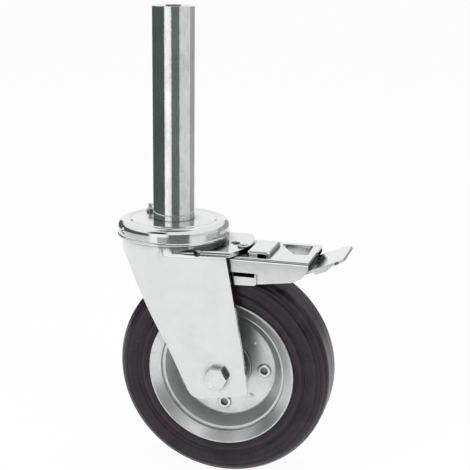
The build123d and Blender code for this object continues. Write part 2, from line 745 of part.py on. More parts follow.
def release_lever():
    """Release lever: a knuckle on its pin, an upturned plate with a rounded tip and two side flanges."""
    t = lever_sheet
    reach = flange_reach
    low = -lever_face - t - flange_depth
    plate = Pos(lever_length / 2, 0, -lever_face - t / 2) * Box(lever_length, 2 * lever_half_width, t)
    plate = fillet(plate.edges().filter_by(Axis.Z).group_by(Axis.X)[-1], lever_fillet)
    flange_face = section((flange_start, -lever_face - t / 2), (reach, -lever_face - t / 2),
                          (reach * 0.7, low, 2.0), (flange_start + 2.0, low, 1.0))
    flange = extrude(Plane.XZ * flange_face, amount=t)
    near = Pos(0, -lever_half_width + t, 0) * flange
    knuckle = Rot(90, 0, 0) * Cylinder(lever_knuckle, 2 * lever_half_width)
    body = plate + near + mirror(near, about=Plane.XZ) + knuckle
    body -= Rot(90, 0, 0) * Cylinder(lever_pin_radius + pin_gap, far)
    return Pos(lever_pivot[0], 0, lever_pivot[1]) * Rot(0, -lever_rise, 0) * body


def pedal_spring():
    """Torsion spring round the pivot pin, its two legs under the pedal's plate."""
    coil = Helix(pitch=spring_pitch, height=spring_pitch * spring_turns, radius=spring_radius)
    rod = sweep(Plane(coil @ 0, z_dir=coil % 0) * Circle(spring_wire), path=coil, is_frenet=True)
    leg = Rot(-90, 0, 0) * Pos(0, 0, -spring_leg / 2) * Cylinder(spring_wire, spring_leg)
    joint = Sphere(spring_wire)
    spring = rod + [Pos(*(coil @ end)) * piece for end in (0, 1) for piece in (leg, joint)]
    return Pos(pivot[0], -spring_start, pivot[1]) * Rot(90, 0, 0) * Rot(0, 0, 90) * spring


pieces = {
    "stem_tube": stem_tube,
    "stem_plug": stem_plug,
    "stem_weld": stem_weld,
    "top_cap": top_cap,
    "grease_nipple": grease_nipple,
    "king_pin": king_pin,
    "king_pin_nut": king_pin_nut,
    "lower_cup": lower_cup,
    "lock_ring": lock_ring,
    "upper_balls": lambda: balls(upper_count, upper_circle, upper_ball_z),
    "upper_cage": lambda: ball_cage(upper_count, upper_circle, upper_ball_z),
    "lower_balls": lambda: balls(lower_count, lower_circle, lower_ball_z),
    "lower_cage": lambda: ball_cage(lower_count, lower_circle, lower_ball_z),
    "fork": fork,
    "spring_stud": spring_stud,
    "spring_hook": spring_hook,
    "pivot_pin": pivot_pin,
    "axle_bolt": axle_bolt,
    "axle_washer": axle_washer,
    "axle_nut": axle_nut,
    "bearing_sleeve": bearing_sleeve,
    "tyre": tyre,
    "rim_near": rim_near,
    "rim_far": rim_far,
    "rim_rivets": rim_rivets,
    "hub_tube": hub_tube,
    "hub_collars": hub_collars,
    "dust_caps": dust_caps,
    "rollers": rollers,
    "roller_cage": roller_cage,
    "brake_pedal": brake_pedal,
    "step_pad": step_pad,
    "brake_shoe": brake_shoe,
    "lock_leaf": lock_leaf,
    "leaf_rivets": leaf_rivets,
    "lever_pin": lever_pin,
    "pedal_spring": pedal_spring,
    "release_lever": release_lever,
}

os.makedirs("parts", exist_ok=True)
for name, build in pieces.items():
    export_step(build(), f"parts/{name}.step")
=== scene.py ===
"""Dresses a scaffold castor with a tube stem, a rubber tyred steel wheel and a total lock foot brake.

Metres throughout. The origin is on the stem's axis at the cap's top face, +Z is up along the stem,
+X is the trailing side with the pedal, and -Y is the near side with the axle bolt's head.
"""

import json
import logging
import math
from dataclasses import dataclass
from enum import Enum
from typing import Iterable, Sequence

import bmesh
import bpy
from mathutils import Matrix, Vector


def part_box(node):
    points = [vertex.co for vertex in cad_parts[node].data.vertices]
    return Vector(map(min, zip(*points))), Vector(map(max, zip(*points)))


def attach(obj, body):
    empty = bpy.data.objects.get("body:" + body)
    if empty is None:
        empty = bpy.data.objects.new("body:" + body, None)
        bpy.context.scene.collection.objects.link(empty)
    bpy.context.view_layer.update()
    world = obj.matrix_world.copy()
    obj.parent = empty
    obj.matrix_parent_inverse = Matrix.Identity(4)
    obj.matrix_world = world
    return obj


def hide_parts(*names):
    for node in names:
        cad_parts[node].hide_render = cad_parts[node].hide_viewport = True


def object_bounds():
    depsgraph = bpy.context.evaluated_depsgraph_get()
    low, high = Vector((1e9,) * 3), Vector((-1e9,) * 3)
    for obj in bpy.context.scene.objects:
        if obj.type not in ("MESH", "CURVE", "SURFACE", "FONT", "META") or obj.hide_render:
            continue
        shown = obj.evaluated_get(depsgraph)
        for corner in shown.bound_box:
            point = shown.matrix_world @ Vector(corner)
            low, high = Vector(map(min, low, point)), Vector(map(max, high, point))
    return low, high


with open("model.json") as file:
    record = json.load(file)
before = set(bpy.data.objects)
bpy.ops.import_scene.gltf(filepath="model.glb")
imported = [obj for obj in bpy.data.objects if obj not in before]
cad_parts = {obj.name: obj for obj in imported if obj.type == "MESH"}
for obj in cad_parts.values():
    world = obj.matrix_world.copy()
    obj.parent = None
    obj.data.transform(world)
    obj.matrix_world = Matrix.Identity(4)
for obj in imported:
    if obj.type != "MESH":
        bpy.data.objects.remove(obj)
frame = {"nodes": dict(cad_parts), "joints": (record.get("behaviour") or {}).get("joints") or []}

LOG = logging.getLogger("castor")
MM = 0.001
FLOOR_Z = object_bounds()[0].z
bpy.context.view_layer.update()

WHITE = (1.0, 1.0, 1.0, 1.0)
MERGED = 0.002 * MM
SLIVER = 0.001 * MM

Colour = tuple[float, float, float]
Place = tuple[float, float, float]
Corner = tuple[float, float, float]
Outline = list[tuple[float, float]]


class Body(Enum):
    """Moving bodies of the castor."""

    STEM = "stem"
    FORK = "fork"
    WHEEL = "wheel"
    PEDAL = "pedal"
    LEVER = "lever"


class Slot(Enum):
    """Material slots of the castor."""

    TUBE = "zinc_tube"
    PRESSING = "zinc_pressing"
    RIM = "zinc_rim"
    FASTENER = "zinc_fastener"
    PLAIN = "plain_steel"
    BEARING = "bearing_steel"
    SPRING = "spring_steel"
    RUBBER = "rubber"


class Coating(Enum):
    """How a zinc coat lies on the metal: the pattern's stretch along X, Y and Z."""

    DRAWN = (1.0, 1.0, 0.35)
    ROLLED = (1.0, 1.0, 1.0)
    SPUN = (0.6, 1.0, 0.6)


def joint_place(name: str) -> Vector:
    """Returns the pivot point of a joint by its name."""
    return Vector(next(joint["pos_m"] for joint in frame["joints"] if joint["name"] == name))


class NodeGraph:
    """A small wrapper round a node tree that adds nodes and links by name."""

    def __init__(self, tree: bpy.types.NodeTree) -> None:
        """Keeps the tree.

        Args:
            tree: the node tree to fill.
        """
        self.tree = tree

    def add(self, kind: str, **settings: object) -> bpy.types.Node:
        """Adds a node.

        Args:
            kind: the node's type name.
            settings: properties set on the node, or values of its inputs where the name is an input.

        Returns:
            The new node.
        """
        node = self.tree.nodes.new(kind)
        for name, value in settings.items():
            label = name.replace("_", " ").title()
            if label in node.inputs and name not in node.bl_rna.properties:
                node.inputs[label].default_value = value
            else:
                setattr(node, name, value)
        return node

    def link(self, source: bpy.types.NodeSocket, target: bpy.types.NodeSocket) -> None:
        """Links an output to an input."""
        self.tree.links.new(source, target)

    def feed(self, target: bpy.types.NodeSocket, value: object) -> None:
        """Sets an input to a value, or links it where the value is an output.

        Args:
            target: the input.
            value: a plain value or an output.
        """
        if isinstance(value, bpy.types.NodeSocket):
            self.link(value, target)
        else:
            target.default_value = value

    def noise(self, vector: object, scale: object, detail: float, roughness: float = 0.5) -> object:
        """Adds a noise texture.

        Args:
            vector: the output that gives its place.
            scale: patterns per metre, as a number or an output.
            detail: octaves.
            roughness: how strong the finer octaves are.

        Returns:
            The value output, about 0.5 in the mean.
        """
        node = self.add("ShaderNodeTexNoise", detail=detail, roughness=roughness)
        self.feed(node.inputs["Scale"], scale)
        self.feed(node.inputs["Vector"], vector)
        return node.outputs["Fac"]

    def math(self, operation: str, first: object, second: object = 0.0, clamp: bool = False) -> object:
        """Adds a math node.

        Args:
            operation: the node's operation.
            first: its first number, as a number or an output.
            second: its second number.
            clamp: whether the result is kept within 0..1.

        Returns:
            The value output.
        """
        node = self.add("ShaderNodeMath", operation=operation)
        node.use_clamp = clamp
        self.feed(node.inputs[0], first)
        self.feed(node.inputs[1], second)
        return node.outputs[0]

    def ramp(self, value: object, low: float, high: float) -> object:
        """Spreads a value from a range to 0..1, smoothly.

        Args:
            value: the output to spread.
            low: where the result is 0.
            high: where the result is 1.

        Returns:
            The value output.
        """
        node = self.add("ShaderNodeMapRange", interpolation_type="SMOOTHSTEP")
        self.feed(node.inputs["Value"], value)
        node.inputs["From Min"].default_value = low
        node.inputs["From Max"].default_value = high
        return node.outputs["Result"]

    def mix(self, factor: object, first: object, second: object) -> object:
        """Mixes two colours.

        Args:
            factor: the second colour's share.
            first: a colour or an output.
            second: a colour or an output.

        Returns:
            The colour output.
        """
        node = self.add("ShaderNodeMix", data_type="RGBA")
        colours = [socket for socket in node.inputs if socket.type == "RGBA"]
        self.feed(node.inputs[0], factor)
        self.feed(colours[0], first)
        self.feed(colours[1], second)
        return next(socket for socket in node.outputs if socket.type == "RGBA")

    def stretched(self, vector: object, scale: object) -> object:
        """Multiplies a vector by another.

        Args:
            vector: the output to stretch.
            scale: a vector or an output.

        Returns:
            The vector output.
        """
        node = self.add("ShaderNodeVectorMath", operation="MULTIPLY")
        self.feed(node.inputs[0], vector)
        self.feed(node.inputs[1], scale)
        return node.outputs[0]


class EffectGroup:
    """A shader node group with named inputs and outputs, built once."""

    name = ""
    inputs: dict[str, tuple[str, object]] = {}
    outputs: dict[str, str] = {}

    @classmethod
    def tree(cls) -> bpy.types.NodeTree:
        """Builds the group on the first call and keeps it.

        Returns:
            The group's node tree.
        """
        found = bpy.data.node_groups.get(cls.name)
        if found:
            return found
        tree = bpy.data.node_groups.new(cls.name, "ShaderNodeTree")
        for label, (kind, value) in cls.inputs.items():
            socket = tree.interface.new_socket(label, in_out="INPUT", socket_type=kind)
            socket.default_value = value
        for label, kind in cls.outputs.items():
            tree.interface.new_socket(label, in_out="OUTPUT", socket_type=kind)
        graph = NodeGraph(tree)
        cls.build(graph, graph.add("NodeGroupInput").outputs, graph.add("NodeGroupOutput").inputs)
        return tree

    @classmethod
    def build(cls, graph: NodeGraph, given: object, result: object) -> None:
        """Makes the group's nodes.

        Args:
            graph: the group's own graph.
            given: the group's inputs, by name.
            result: the sockets that take its results, by name.
        """
        raise NotImplementedError

    @classmethod
    def place(cls, graph: NodeGraph, **values: object) -> bpy.types.Node:
        """Puts the group in a material.

        Args:
            graph: the material's graph.
            values: the group's inputs, with underscores for spaces.

        Returns:
            The group node.
        """
        node = graph.add("ShaderNodeGroup", node_tree=cls.tree())
        for name, value in values.items():
            graph.feed(node.inputs[name.replace("_", " ").capitalize()], value)
        return node


class ZincCoat(EffectGroup):
    """Cloudy zinc: soft clouds, crystal mottle and a fine grain, all stretched along the metal."""

    name = "zinc_coat"
    inputs = {
        "Light": ("NodeSocketColor", (0.8, 0.8, 0.8, 1.0)),
        "Dark": ("NodeSocketColor", (0.5, 0.5, 0.5, 1.0)),
        "Stretch": ("NodeSocketVector", (1.0, 1.0, 1.0)),
        "Cloud scale": ("NodeSocketFloat", 60.0),
        "Cloud": ("NodeSocketFloat", 0.5),
        "Mottle scale": ("NodeSocketFloat", 500.0),
        "Mottle": ("NodeSocketFloat", 0.3),
        "Roughness": ("NodeSocketFloat", 0.25),
        "Spread": ("NodeSocketFloat", 0.1),
    }
    outputs = {"Colour": "NodeSocketColor", "Roughness": "NodeSocketFloat", "Height": "NodeSocketFloat"}
    cloud_edge = (0.35, 0.68)
    patch_edge = (0.3, 0.75)
    patch_scale = 0.3
    grain_scale = 4.0
    even_shade = 0.75
    patch_height = 0.8

    @classmethod
    def build(cls, graph: NodeGraph, given: object, result: object) -> None:
        """Makes the clouds, the mottle and the grain.

        Args:
            graph: the group's own graph.
            given: the group's inputs, by name.
            result: the sockets that take its results, by name.
        """
        place = graph.stretched(graph.add("ShaderNodeTexCoord").outputs["Object"], given["Stretch"])
        clouds = graph.ramp(graph.noise(place, given["Cloud scale"], 3.0, 0.6), *cls.cloud_edge)
        crystals = graph.add("ShaderNodeTexVoronoi", feature="F1")
        graph.feed(crystals.inputs["Scale"], given["Mottle scale"])
        graph.feed(crystals.inputs["Vector"], place)
        tones = graph.add("ShaderNodeSeparateColor")
        graph.link(crystals.outputs["Color"], tones.inputs[0])
        patch_scale = graph.math("MULTIPLY", given["Mottle scale"], cls.patch_scale)
        patches = graph.noise(place, patch_scale, 4.0, 0.65)
        mottle = graph.math("MULTIPLY", tones.outputs[0], graph.ramp(patches, *cls.patch_edge))
        shade = graph.math("ADD", graph.math("MULTIPLY", clouds, given["Cloud"]),
                           graph.math("MULTIPLY", mottle, given["Mottle"]), clamp=True)
        graph.link(graph.mix(shade, given["Light"], given["Dark"]), result["Colour"])
        grain = graph.noise(place, graph.math("MULTIPLY", given["Mottle scale"], cls.grain_scale), 2.0)
        uneven = graph.math("SUBTRACT", graph.math("ADD", grain, shade), cls.even_shade)
        rough = graph.math("MULTIPLY", uneven, given["Spread"])
        graph.link(graph.math("ADD", given["Roughness"], rough, clamp=True), result["Roughness"])
        relief = graph.math("MULTIPLY", patches, cls.patch_height)
        graph.link(graph.math("ADD", grain, relief), result["Height"])


class HandlingMarks(EffectGroup):
    """Fine scratches and rubbed spots from handling, as a mask and a height."""

    name = "handling_marks"
    inputs = {"Density": ("NodeSocketFloat", 0.5), "Scale": ("NodeSocketFloat", 40.0)}
    outputs = {"Mask": "NodeSocketFloat", "Height": "NodeSocketFloat"}
    stretches = ((1.0, 9.0, 1.4), (8.0, 1.0, 2.0), (1.6, 2.2, 10.0))
    line_scale = 5.0
    line_width = 0.006
    patch_limit = 0.98

    @classmethod
    def build(cls, graph: NodeGraph, given: object, result: object) -> None:
        """Makes thin wavering lines that show only in patches.

        Args:
            graph: the group's own graph.
            given: the group's inputs, by name.
            result: the sockets that take its results, by name.
        """
        place = graph.add("ShaderNodeTexCoord").outputs["Object"]
        lines = None
        for number, stretch in enumerate(cls.stretches):
            scale = graph.math("MULTIPLY", given["Scale"], cls.line_scale + number)
            value = graph.noise(graph.stretched(place, stretch), scale, 1.0)
            thin = graph.math("COMPARE", value, 0.5)
            thin.node.inputs[2].default_value = cls.line_width
            lines = thin if lines is None else graph.math("MAXIMUM", lines, thin)
        patch = graph.noise(place, given["Scale"], 2.0)
        shown = graph.math("GREATER_THAN", graph.math("ADD", patch, given["Density"]), cls.patch_limit)
        mask = graph.math("MULTIPLY", lines, shown)
        graph.link(mask, result["Mask"])
        graph.link(graph.math("MULTIPLY", mask, -1.0), result["Height"])


class RecessShade(EffectGroup):
    """Painted shade in recesses, folds and gaps between parts, as a mask of how closed in a place is."""

    name = "recess_shade"
    inputs = {"Reach": ("NodeSocketFloat", 0.016), "Strength": ("NodeSocketFloat", 0.7)}
    outputs = {"Mask": "NodeSocketFloat"}
    open_edge = (0.3, 0.92)

    @classmethod
    def build(cls, graph: NodeGraph, given: object, result: object) -> None:
        """Turns ambient occlusion into a mask that is 0 in the open.

        Args:
            graph: the group's own graph.
            given: the group's inputs, by name.
            result: the sockets that take its results, by name.
        """
        # Painted shade: the less open sky a point sees within the reach, the darker it is painted.
        open_sky = graph.add("ShaderNodeAmbientOcclusion", samples=8)
        graph.link(given["Reach"], open_sky.inputs["Distance"])
        closed = graph.math("SUBTRACT", 1.0, graph.ramp(open_sky.outputs["AO"], *cls.open_edge))
        graph.link(graph.math("MULTIPLY", closed, given["Strength"]), result["Mask"])


class MouldRings(EffectGroup):
    """Fine rings round an axle that runs along Y, as a mould leaves on rubber; the tyre uses them for real
    relief and for painted highlight bands.
    """

    name = "mould_rings"
    inputs = {"Centre": ("NodeSocketVector", (0.0, 0.0, 0.0)), "Scale": ("NodeSocketFloat", 300.0)}
    outputs = {"Value": "NodeSocketFloat"}
    ring_edge = (0.38, 0.66)

    @classmethod
    def build(cls, graph: NodeGraph, given: object, result: object) -> None:
        """Makes a noise that depends only on the distance from the axle.

        Args:
            graph: the group's own graph.
            given: the group's inputs, by name.
            result: the sockets that take its results, by name.
        """
        away = graph.add("ShaderNodeVectorMath", operation="SUBTRACT")
        graph.link(graph.add("ShaderNodeTexCoord").outputs["Object"], away.inputs[0])
        graph.link(given["Centre"], away.inputs[1])
        flat = graph.stretched(away.outputs[0], (1.0, 0.0, 1.0))
        reach = graph.add("ShaderNodeVectorMath", operation="LENGTH")
        graph.link(flat, reach.inputs[0])
        place = graph.add("ShaderNodeCombineXYZ")
        graph.link(reach.outputs["Value"], place.inputs["X"])
        rings = graph.noise(place.outputs[0], given["Scale"], 3.0, 0.6)
        graph.link(graph.ramp(rings, *cls.ring_edge), result["Value"])


@dataclass(frozen=True)
class Finish:
    """A finish with its material slot, whose material is built on its first use."""

    slot: Slot

    def material(self) -> bpy.types.Material:
        """Builds the finish's material on the first call and keeps it.

        Returns:
            The material.
        """
        name = f"{self.slot.value}_finish"
        found = bpy.data.materials.get(name)
        if found:
            return found
        material = bpy.data.materials.new(name)
        material.use_nodes = True
        graph = NodeGraph(material.node_tree)
        self.fill(graph, graph.tree.nodes["Principled BSDF"].inputs)
        return material

    def fill(self, graph: NodeGraph, shader: bpy.types.NodeInputs) -> None:
        """Makes the material's nodes.

        Args:
            graph: the material's graph.
            shader: the inputs of its shader.
        """
        raise NotImplementedError

    @staticmethod
    def emboss(graph: NodeGraph, shader: bpy.types.NodeInputs, relief: object, strength: float,
               height: float) -> None:
        """Feeds a relief to the shader's normal.

        Args:
            graph: the material's graph.
            shader: the inputs of its shader.
            relief: the output that gives the height.
            strength: share of the relief that shows.
            height: the relief's full height.
        """
        bump = graph.add("ShaderNodeBump")
        bump.inputs["Strength"].default_value = strength
        bump.inputs["Distance"].default_value = height
        graph.link(relief, bump.inputs["Height"])
        graph.link(bump.outputs["Normal"], shader["Normal"])


@dataclass(frozen=True)
class ZincFinish(Finish):
    """Bright zinc plating, or bare steel with the same coat of light and dark."""

    light: Colour
    dark: Colour
    coating: Coating = Coating.ROLLED
    cloud_scale: float = 45.0
    cloud: float = 0.5
    mottle_scale: float = 500.0
    mottle: float = 0.2
    roughness: float = 0.24
    spread: float = 0.1
    bump: float = 0.04
    marks: float = 0.4
    # recess sets the strength of the painted shade in recesses, folds and gaps; the next colour is the
    # near-black that this painted shade darkens towards.
    recess: float = 0.9
    painted_shade_colour: Colour = (0.09, 0.102, 0.098)
    grain_height: float = 0.3 * MM

    def fill(self, graph: NodeGraph, shader: bpy.types.NodeInputs) -> None:
        """Lays the zinc coat, its handling marks and the film in its recesses.

        Args:
            graph: the material's graph.
            shader: the inputs of its shader.
        """
        shader["Metallic"].default_value = 1.0
        coat = ZincCoat.place(graph, Light=(*self.light, 1.0), Dark=(*self.dark, 1.0),
                              Stretch=self.coating.value, Cloud_scale=self.cloud_scale, Cloud=self.cloud,
                              Mottle_scale=self.mottle_scale, Mottle=self.mottle,
                              Roughness=self.roughness, Spread=self.spread)
        marks = HandlingMarks.place(graph, Density=self.marks)
        recess = RecessShade.place(graph, Strength=self.recess)
        worn = graph.mix(marks.outputs["Mask"], coat.outputs["Colour"], (*self.dark, 1.0))
        # Painted shade: closed-in places are mixed towards the near-black shade colour.
        graph.link(graph.mix(recess.outputs["Mask"], worn, (*self.painted_shade_colour, 1.0)), shader["Base Color"])
        graph.link(coat.outputs["Roughness"], shader["Roughness"])
        relief = graph.math("ADD", coat.outputs["Height"], marks.outputs["Height"])
        self.emboss(graph, shader, relief, self.bump, self.grain_height)


@dataclass(frozen=True)
class RubberFinish(Finish):
    """Moulded black rubber with a faint warm tint, a soft sheen, a little dust and painted highlight bands
    along the mould rings.
    """

    deep: Colour = (0.004, 0.0015, 0.004)
    # worn is the lighter rubber of dust and marks, and also the colour of the painted highlight bands of the
    # mould rings.
    worn: Colour = (0.046, 0.030, 0.041)
    specular: float = 0.32
    roughness: float = 0.24
    spread: float = 0.18
    cloud_scale: float = 38.0
    cloud: float = 0.35
    speck_scale: float = 900.0
    speck: float = 0.15
    # ring is the mould rings' share in the colour, which paints highlight bands; ring_height is their real
    # relief.
    ring: float = 0.5
    ring_height: float = 1.5
    grain_scale: float = 2600.0
    grain_height: float = 0.2 * MM
    bump: float = 0.12
    marks: float = 0.42
    mark_scale: float = 30.0

    def fill(self, graph: NodeGraph, shader: bpy.types.NodeInputs) -> None:
        """Mixes deep and worn rubber by clouds, specks and the mould's rings, whose lighter bands are painted
        highlights over their real relief.

        Args:
            graph: the material's graph.
            shader: the inputs of its shader.
        """
        shader["Specular IOR Level"].default_value = self.specular
        place = graph.add("ShaderNodeTexCoord").outputs["Object"]
        clouds = graph.ramp(graph.noise(place, self.cloud_scale, 4.0, 0.6), 0.35, 0.75)
        specks = graph.ramp(graph.noise(place, self.speck_scale, 2.0), 0.55, 0.8)
        rings = MouldRings.place(graph, Centre=joint_place("wheel_roll")).outputs["Value"]
        shade = graph.math("MULTIPLY", clouds, self.cloud)
        shade = graph.math("ADD", shade, graph.math("MULTIPLY", specks, self.speck))
        # The rings lighten the colour in bands round the axle: painted highlight bands.
        shade = graph.math("ADD", shade, graph.math("MULTIPLY", rings, self.ring), clamp=True)
        marks = HandlingMarks.place(graph, Density=self.marks, Scale=self.mark_scale)
        colour = graph.mix(shade, (*self.deep, 1.0), (*self.worn, 1.0))
        graph.link(graph.mix(marks.outputs["Mask"], colour, (*self.worn, 1.0)), shader["Base Color"])
        rough = graph.math("ADD", self.roughness, graph.math("MULTIPLY", shade, self.spread), clamp=True)
        graph.link(rough, shader["Roughness"])
        grain = graph.noise(place, self.grain_scale, 2.0)
        relief = graph.math("ADD", grain, graph.math("MULTIPLY", rings, self.ring_height))
        relief = graph.math("ADD", relief, marks.outputs["Height"])
        self.emboss(graph, shader, relief, self.bump, self.grain_height)


TUBE = ZincFinish(Slot.TUBE, (0.84, 0.86, 0.85), (0.54, 0.56, 0.555), Coating.DRAWN, cloud_scale=70.0,
                  cloud=0.35, mottle_scale=420.0, mottle=0.5, roughness=0.07, spread=0.06, recess=0.0)
PRESSING = ZincFinish(Slot.PRESSING, (0.775, 0.782, 0.78), (0.67, 0.677, 0.675), cloud_scale=28.0,
                      cloud=0.35, mottle_scale=700.0, mottle=0.15, roughness=0.15, spread=0.07, bump=0.03)
RIM = ZincFinish(Slot.RIM, (0.80, 0.81, 0.81), (0.56, 0.57, 0.57), Coating.SPUN, cloud_scale=40.0,
                 cloud=0.4, mottle_scale=600.0, mottle=0.35, roughness=0.34, bump=0.05)
FASTENER = ZincFinish(Slot.FASTENER, (0.82, 0.835, 0.83), (0.56, 0.57, 0.57), mottle_scale=900.0,
                      mottle=0.3, roughness=0.20, recess=0.45)
PLAIN = ZincFinish(Slot.PLAIN, (0.50, 0.51, 0.51), (0.30, 0.30, 0.30), roughness=0.34, mottle=0.3)
BEARING = ZincFinish(Slot.BEARING, (0.80, 0.81, 0.82), (0.68, 0.69, 0.70), roughness=0.08, spread=0.03,
                     bump=0.01)
SPRING = ZincFinish(Slot.SPRING, (0.84, 0.85, 0.85), (0.58, 0.59, 0.59), Coating.DRAWN, roughness=0.2,
                    recess=0.3)
RUBBER = RubberFinish(Slot.RUBBER)


def rounded(corners: Sequence[Corner], steps: int = 5) -> Outline:
    """Turns corners with radii into a closed outline.

    Args:
        corners: (x, y, radius) in order; radius 0 keeps the corner sharp.
        steps: straight pieces in each arc.

    Returns:
        The outline's points in order.
    """
    outline: Outline = []
    for index, (x, y, radius) in enumerate(corners):
        here = Vector((x, y))
        before = (Vector(corners[index - 1][:2]) - here).normalized()
        after = (Vector(corners[(index + 1) % len(corners)][:2]) - here).normalized()
        if radius <= 0.0:
            outline.append((x, y))
            continue
        half = math.acos(max(-1.0, min(1.0, before.dot(after)))) / 2
        start = here + before * (radius / math.tan(half))
        centre = here + (before + after).normalized() * (radius / math.sin(half))
        first = math.atan2(start.y - centre.y, start.x - centre.x)
        turn = math.pi - 2 * half
        side = 1.0 if before.y * after.x > before.x * after.y else -1.0
        for step in range(steps + 1):
            angle = first + side * turn * step / steps
            outline.append((centre.x + radius * math.cos(angle), centre.y + radius * math.sin(angle)))
    return outline


def lathe(outline: Outline, steps: int = 160) -> bmesh.types.BMesh:
    """Spins a closed outline about Z.

    Args:
        outline: (radius, height) points in order.
        steps: faces round the axis.

    Returns:
        The closed mesh.
    """
    mesh = bmesh.new()
    verts = [mesh.verts.new((radius, 0.0, height)) for radius, height in outline]
    edges = [mesh.edges.new(pair) for pair in zip(verts, verts[1:] + verts[:1])]
    bmesh.ops.spin(mesh, geom=verts + edges, cent=(0, 0, 0), axis=(0, 0, 1), dvec=(0, 0, 0),
                   angle=2 * math.pi, steps=steps, use_merge=True, use_duplicate=False)
    bmesh.ops.remove_doubles(mesh, verts=mesh.verts, dist=MERGED)
    bmesh.ops.dissolve_degenerate(mesh, edges=mesh.edges, dist=SLIVER)
    bmesh.ops.recalc_face_normals(mesh, faces=mesh.faces)
    return mesh


def thread(radius: float, pitch: float, low: float, high: float, steps: int = 40) -> bmesh.types.BMesh:
    """Spins a rounded ridge into a screw thread about Z.

    Args:
        radius: the thread's outer radius.
        pitch: rise of one turn.
        low: height of the first turn.
        high: height of the last turn.
        steps: faces in one turn.

    Returns:
        The closed mesh of the ridge.
    """
    depth = pitch * 0.6
    turns = (high - low - pitch) / pitch
    corners = [(radius - depth, low, 0.0), (radius, low + pitch * 0.42, 0.0),
               (radius, low + pitch * 0.55, 0.0), (radius - depth, low + pitch * 0.97, 0.0)]
    mesh = bmesh.new()
    verts = [mesh.verts.new((x, 0.0, z)) for x, z, _ in corners]
    face = mesh.faces.new(verts)
    count = max(int(turns * steps), 1)
    bmesh.ops.spin(mesh, geom=[face], cent=(0, 0, 0), axis=(0, 0, 1), dvec=(0, 0, pitch / steps),
                   angle=2 * math.pi * turns, steps=count, use_duplicate=False)
    bmesh.ops.recalc_face_normals(mesh, faces=mesh.faces)
    return mesh


def skin(node: str, bevel: float, sharp: float = 35.0, flush: Vector | None = None) -> bmesh.types.BMesh:
    """Copies a CAD node's mesh, merges it and breaks its sharp edges.

    Args:
        node: the CAD node's name.
        bevel: width of the broken edges.
        sharp: edges that turn by more than this, in degrees, are broken.
        flush: a point on the cross pin whose hole keeps its edges sharp, because the pin ends flush.

    Returns:
        The merged mesh.
    """
    mesh = bmesh.new()
    mesh.from_mesh(frame["nodes"][node].data)
    bmesh.ops.remove_doubles(mesh, verts=mesh.verts, dist=MERGED)
    bmesh.ops.dissolve_degenerate(mesh, edges=mesh.edges, dist=SLIVER)
    bmesh.ops.dissolve_limit(mesh, angle_limit=math.radians(0.4), verts=mesh.verts, edges=mesh.edges,
                             use_dissolve_boundaries=False, delimit=set())
    if bevel > 0:
        edges = [edge for edge in mesh.edges
                 if len(edge.link_faces) == 2 and edge.calc_face_angle() > math.radians(sharp)
                 and not (flush and beside(edge, flush))]
        bmesh.ops.bevel(mesh, geom=edges, offset=bevel, offset_type="OFFSET", segments=2, profile=0.5,
                        affect="EDGES", material=-1, clamp_overlap=True)
    return mesh


def beside(edge: bmesh.types.BMEdge, pin: Vector, reach: float = 4.0 * MM) -> bool:
    """Tells whether an edge lies round a cross pin that runs along Y.

    Args:
        edge: the edge.
        pin: a point on the pin's axis.
        reach: how far from the axis the edge may lie.

    Returns:
        True where it does.
    """
    middle = (edge.verts[0].co + edge.verts[1].co) / 2
    return math.hypot(middle.x - pin.x, middle.z - pin.z) < reach


def piece(name: str, mesh: bmesh.types.BMesh, body: Body, finish: Finish,
          replaces: Sequence[str] = (), sharp: float = 32.0) -> bpy.types.Object:
    """Makes an object of a mesh, with smooth faces and crisp edges, its finish and its body.

    Args:
        name: the piece's name.
        mesh: the finished mesh, already in place.
        body: the body it rides on.
        finish: the finish it gets.
        replaces: CAD nodes that it stands for.
        sharp: edges that turn by more than this, in degrees, stay crisp.

    Returns:
        The new object.
    """
    data = bpy.data.meshes.new(name)
    mesh.to_mesh(data)
    mesh.free()
    for polygon in data.polygons:
        polygon.use_smooth = True
    data.set_sharp_from_angle(angle=math.radians(sharp))
    made = bpy.data.objects.new(name, data)
    bpy.context.scene.collection.objects.link(made)
    data.materials.append(finish.material())
    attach(made, body.value)
    weighting = made.modifiers.new("face_weighting", "WEIGHTED_NORMAL")
    weighting.keep_sharp = True
    if replaces:
        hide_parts(*replaces)
    LOG.info("%s: %d faces on %s, finish %s", name, len(data.polygons), body.value, finish.slot.value)
    return made


def placed(mesh: bmesh.types.BMesh, matrix: Matrix) -> bmesh.types.BMesh:
    """Moves a whole mesh by a matrix and returns it."""
    bmesh.ops.transform(mesh, matrix=matrix, verts=mesh.verts)
    return mesh


def dented(mesh: bmesh.types.BMesh, centre: Vector, reach: float, push: Vector) -> None:
    """Pushes a round dimple into a mesh.

    Args:
        mesh: the mesh to change.
        centre: the dimple's middle.
        reach: the dimple's radius.
        push: how far and where its middle moves.
    """
    for vert in mesh.verts:
        share = (vert.co - centre).length / reach
        if share < 1.0:
            vert.co += push * (1 - share * share) ** 2


class SubAssembly:
    """A group of pieces of one body that skins CAD nodes with broken edges."""

    body = Body.STEM

    def skins(self, names: Iterable[str], finish: ZincFinish, bevel: float, sharp: float = 35.0,
              flush: Vector | None = None) -> None:
        """Replaces CAD nodes by merged copies with broken edges.

        Args:
            names: the CAD nodes.
            finish: their finish.
            bevel: width of the broken edges.
            sharp: edges that turn by more than this, in degrees, are broken.
            flush: a point on the cross pin whose hole keeps its edges sharp.
        """
        for name in names:
            piece(f"{name}_skin", skin(name, bevel, sharp, flush), self.body, finish, [name])

    def build(self) -> None:
        """Makes the sub-assembly's pieces."""
        raise NotImplementedError


